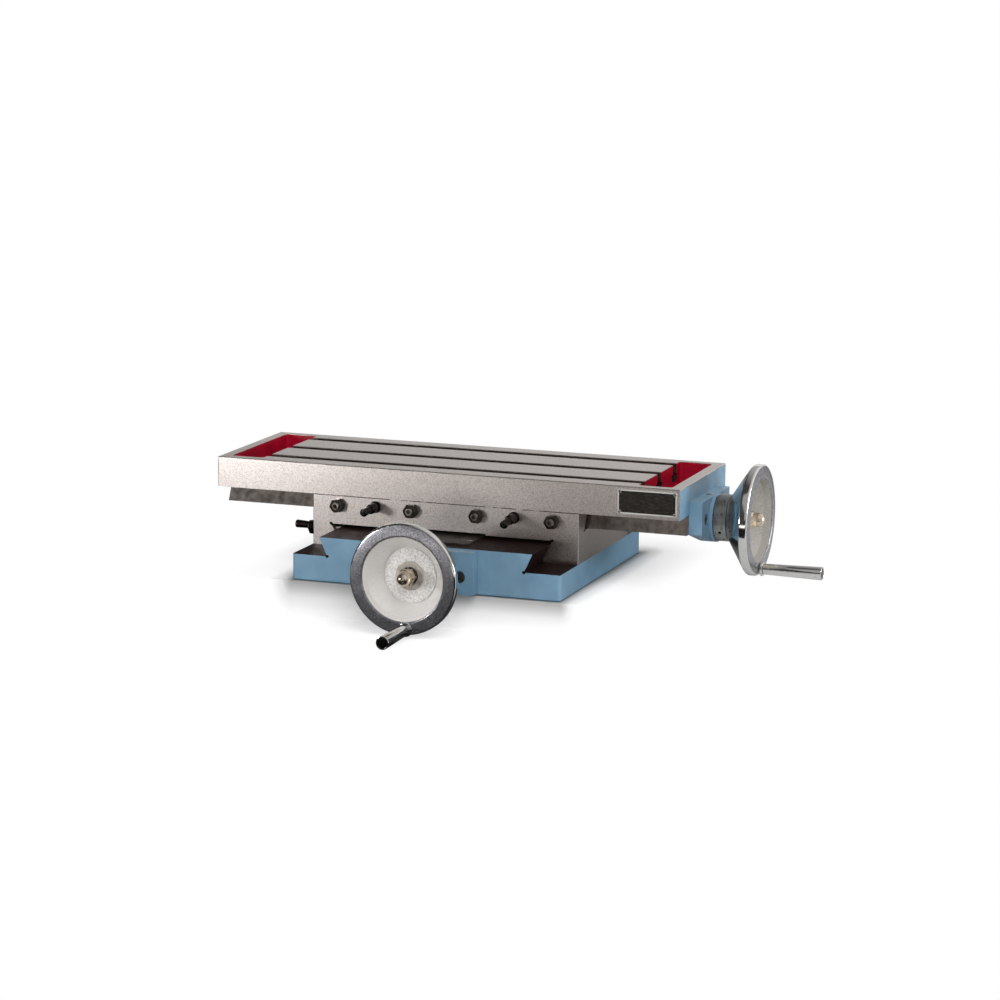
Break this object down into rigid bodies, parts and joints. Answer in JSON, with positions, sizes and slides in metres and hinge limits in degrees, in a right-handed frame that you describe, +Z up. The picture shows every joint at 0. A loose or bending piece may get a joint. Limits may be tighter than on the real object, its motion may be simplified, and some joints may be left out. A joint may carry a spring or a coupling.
{
  "type": "cross slide table",
  "caption": "Low cross slide table on dovetail ways, with a slotted top, end pockets, gib locks, graduated dials and crank handwheels.",
  "frame": {"origin": "centre of the base casting's bottom face, in the middle of its bolt pattern", "axes": "+Z up, +X along the table towards the table feed handwheel, -Y to the front, towards the saddle feed handwheel"},
  "size_m": [0.9173, 0.5693, 0.2342],
  "materials": {
    "base_casting": "painted sides, ground ways",
    "trough_cover": "oiled sheet steel",
    "trough_cover_screws": "bright steel",
    "saddle_casting": "ground",
    "table_casting": "ground, painted ends and pockets",
    "table_gib": "ground strip",
    "table_gib_screws": "black oxide",
    "table_gib_lock_nuts": "black oxide",
    "saddle_gib": "ground strip",
    "saddle_gib_screws": "black oxide",
    "saddle_gib_lock_nuts": "black oxide",
    "table_lock_plugs": "brass rod",
    "saddle_lock_plug": "brass rod",
    "table_lock_lever_left": "black oxide",
    "table_lock_lever_right": "black oxide",
    "saddle_lock_lever": "black oxide",
    "nameplate": "black field, bright border",
    "nameplate_rivets": "bright",
    "table_feed_nut": "bronze block",
    "table_feed_nut_screws": "black oxide",
    "table_feed_bracket": "painted casting",
    "table_feed_bracket_screws": "black oxide",
    "table_feed_bush": "bronze bush",
    "table_feed_oiler": "bright",
    "table_feed_screw": "turned steel",
    "table_rear_thrust_washer": "ground washer",
    "table_front_thrust_washer": "ground washer",
    "table_handwheel": "polished rim, cast dish",
    "table_wheel_key": "key steel",
    "table_wheel_washer": "bright steel",
    "table_spring_washer": "dark spring steel",
    "table_wheel_nut": "chromed",
    "table_handle_spindle": "chromed",
    "table_handle_sleeve": "chromed",
    "table_dial": "satin chrome",
    "table_dial_screw": "black oxide",
    "saddle_feed_nut": "bronze block",
    "saddle_feed_nut_screws": "black oxide",
    "saddle_feed_bracket": "painted casting",
    "saddle_feed_bracket_screws": "black oxide",
    "saddle_feed_bush": "bronze bush",
    "saddle_feed_oiler": "bright",
    "saddle_feed_screw": "turned steel",
    "saddle_rear_thrust_washer": "ground washer",
    "saddle_front_thrust_washer": "ground washer",
    "saddle_handwheel": "polished rim, cast dish",
    "saddle_wheel_key": "key steel",
    "saddle_wheel_washer": "bright steel",
    "saddle_spring_washer": "dark spring steel",
    "saddle_wheel_nut": "chromed",
    "saddle_handle_spindle": "chromed",
    "saddle_handle_sleeve": "chromed",
    "saddle_dial": "satin chrome",
    "saddle_dial_screw": "black oxide"
  },
  "bodies": {
    "base": {"base_casting": "base_casting", "trough_cover": "trough_cover", "trough_cover_screws": "trough_cover_screws", "saddle_feed_bracket": "saddle_feed_bracket", "saddle_feed_bracket_screws": "saddle_feed_bracket_screws", "saddle_feed_bush": "saddle_feed_bush", "saddle_feed_oiler": "saddle_feed_oiler"},
    "saddle": {"saddle_casting": "saddle_casting", "table_gib": "table_gib", "table_gib_screws": "table_gib_screws", "table_gib_lock_nuts": "table_gib_lock_nuts", "saddle_gib": "saddle_gib", "saddle_gib_screws": "saddle_gib_screws", "saddle_gib_lock_nuts": "saddle_gib_lock_nuts", "table_lock_plugs": "table_lock_plugs", "saddle_lock_plug": "saddle_lock_plug", "table_feed_nut": "table_feed_nut", "table_feed_nut_screws": "table_feed_nut_screws", "saddle_feed_nut": "saddle_feed_nut", "saddle_feed_nut_screws": "saddle_feed_nut_screws"},
    "table": {"table_casting": "table_casting", "nameplate": "nameplate", "nameplate_rivets": "nameplate_rivets", "table_feed_bracket": "table_feed_bracket", "table_feed_bracket_screws": "table_feed_bracket_screws", "table_feed_bush": "table_feed_bush", "table_feed_oiler": "table_feed_oiler"},
    "table_screw": {"table_feed_screw": "table_feed_screw", "table_rear_thrust_washer": "table_rear_thrust_washer", "table_front_thrust_washer": "table_front_thrust_washer", "table_handwheel": "table_handwheel", "table_wheel_key": "table_wheel_key", "table_wheel_washer": "table_wheel_washer", "table_spring_washer": "table_spring_washer", "table_wheel_nut": "table_wheel_nut", "table_handle_spindle": "table_handle_spindle"},
    "table_dial": {"table_dial": "table_dial", "table_dial_screw": "table_dial_screw"},
    "table_handle": {"table_handle_sleeve": "table_handle_sleeve"},
    "saddle_screw": {"saddle_feed_screw": "saddle_feed_screw", "saddle_rear_thrust_washer": "saddle_rear_thrust_washer", "saddle_front_thrust_washer": "saddle_front_thrust_washer", "saddle_handwheel": "saddle_handwheel", "saddle_wheel_key": "saddle_wheel_key", "saddle_wheel_washer": "saddle_wheel_washer", "saddle_spring_washer": "saddle_spring_washer", "saddle_wheel_nut": "saddle_wheel_nut", "saddle_handle_spindle": "saddle_handle_spindle"},
    "saddle_dial": {"saddle_dial": "saddle_dial", "saddle_dial_screw": "saddle_dial_screw"},
    "saddle_handle": {"saddle_handle_sleeve": "saddle_handle_sleeve"},
    "table_lock_lever_left": {"table_lock_lever_left": "table_lock_lever_left"},
    "table_lock_lever_right": {"table_lock_lever_right": "table_lock_lever_right"},
    "saddle_lock_lever": {"saddle_lock_lever": "saddle_lock_lever"}
  },
  "joints": [
    {"name": "saddle_slide", "type": "slide", "parent": "base", "child": "saddle", "axis": [0, 1, 0], "range_m": [-0.08, 0.06]},
    {"name": "table_slide", "type": "slide", "parent": "saddle", "child": "table", "axis": [1, 0, 0], "range_m": [-0.15, 0.15]},
    {"name": "saddle_screw_turn", "type": "hinge", "parent": "base", "child": "saddle_screw", "pos_m": [0, -0.1925, 0.035], "axis": [0, 1, 0], "range_deg": [-5761, 4321]},
    {"name": "table_screw_turn", "type": "hinge", "parent": "table", "child": "table_screw", "pos_m": [0.365, 0.0085, 0.1035], "axis": [1, 0, 0], "range_deg": [-10801, 10801]},
    {"name": "saddle_dial_turn", "type": "hinge", "parent": "saddle_screw", "child": "saddle_dial", "pos_m": [0, -0.2275, 0.035], "axis": [0, 1, 0], "continuous": true},
    {"name": "table_dial_turn", "type": "hinge", "parent": "table_screw", "child": "table_dial", "pos_m": [0.4, 0.0085, 0.1035], "axis": [1, 0, 0], "continuous": true},
    {"name": "saddle_handle_turn", "type": "hinge", "parent": "saddle_screw", "child": "saddle_handle", "pos_m": [0.007, -0.33, -0.03766], "axis": [0, 1, 0], "continuous": true},
    {"name": "table_handle_turn", "type": "hinge", "parent": "table_screw", "child": "table_handle", "pos_m": [0.5, 0.0085, 0.0305], "axis": [1, 0, 0], "continuous": true},
    {"name": "table_lock_lever_left_turn", "type": "hinge", "parent": "saddle", "child": "table_lock_lever_left", "pos_m": [-0.11, -0.1115, 0.1035], "axis": [0, 1, 0], "range_deg": [-60, 30]},
    {"name": "table_lock_lever_right_turn", "type": "hinge", "parent": "saddle", "child": "table_lock_lever_right", "pos_m": [0.11, -0.1115, 0.1035], "axis": [0, 1, 0], "range_deg": [-60, 30]},
    {"name": "saddle_lock_lever_turn", "type": "hinge", "parent": "saddle", "child": "saddle_lock_lever", "pos_m": [-0.211, -0.0755, 0.0605], "axis": [1, 0, 0], "range_deg": [-60, 30]}
  ],
  "couplings": [
    {"joint": "saddle_screw_turn", "follows": "saddle_slide", "rad_per_m": 1256.6},
    {"joint": "table_screw_turn", "follows": "table_slide", "rad_per_m": 1256.6}
  ]
}
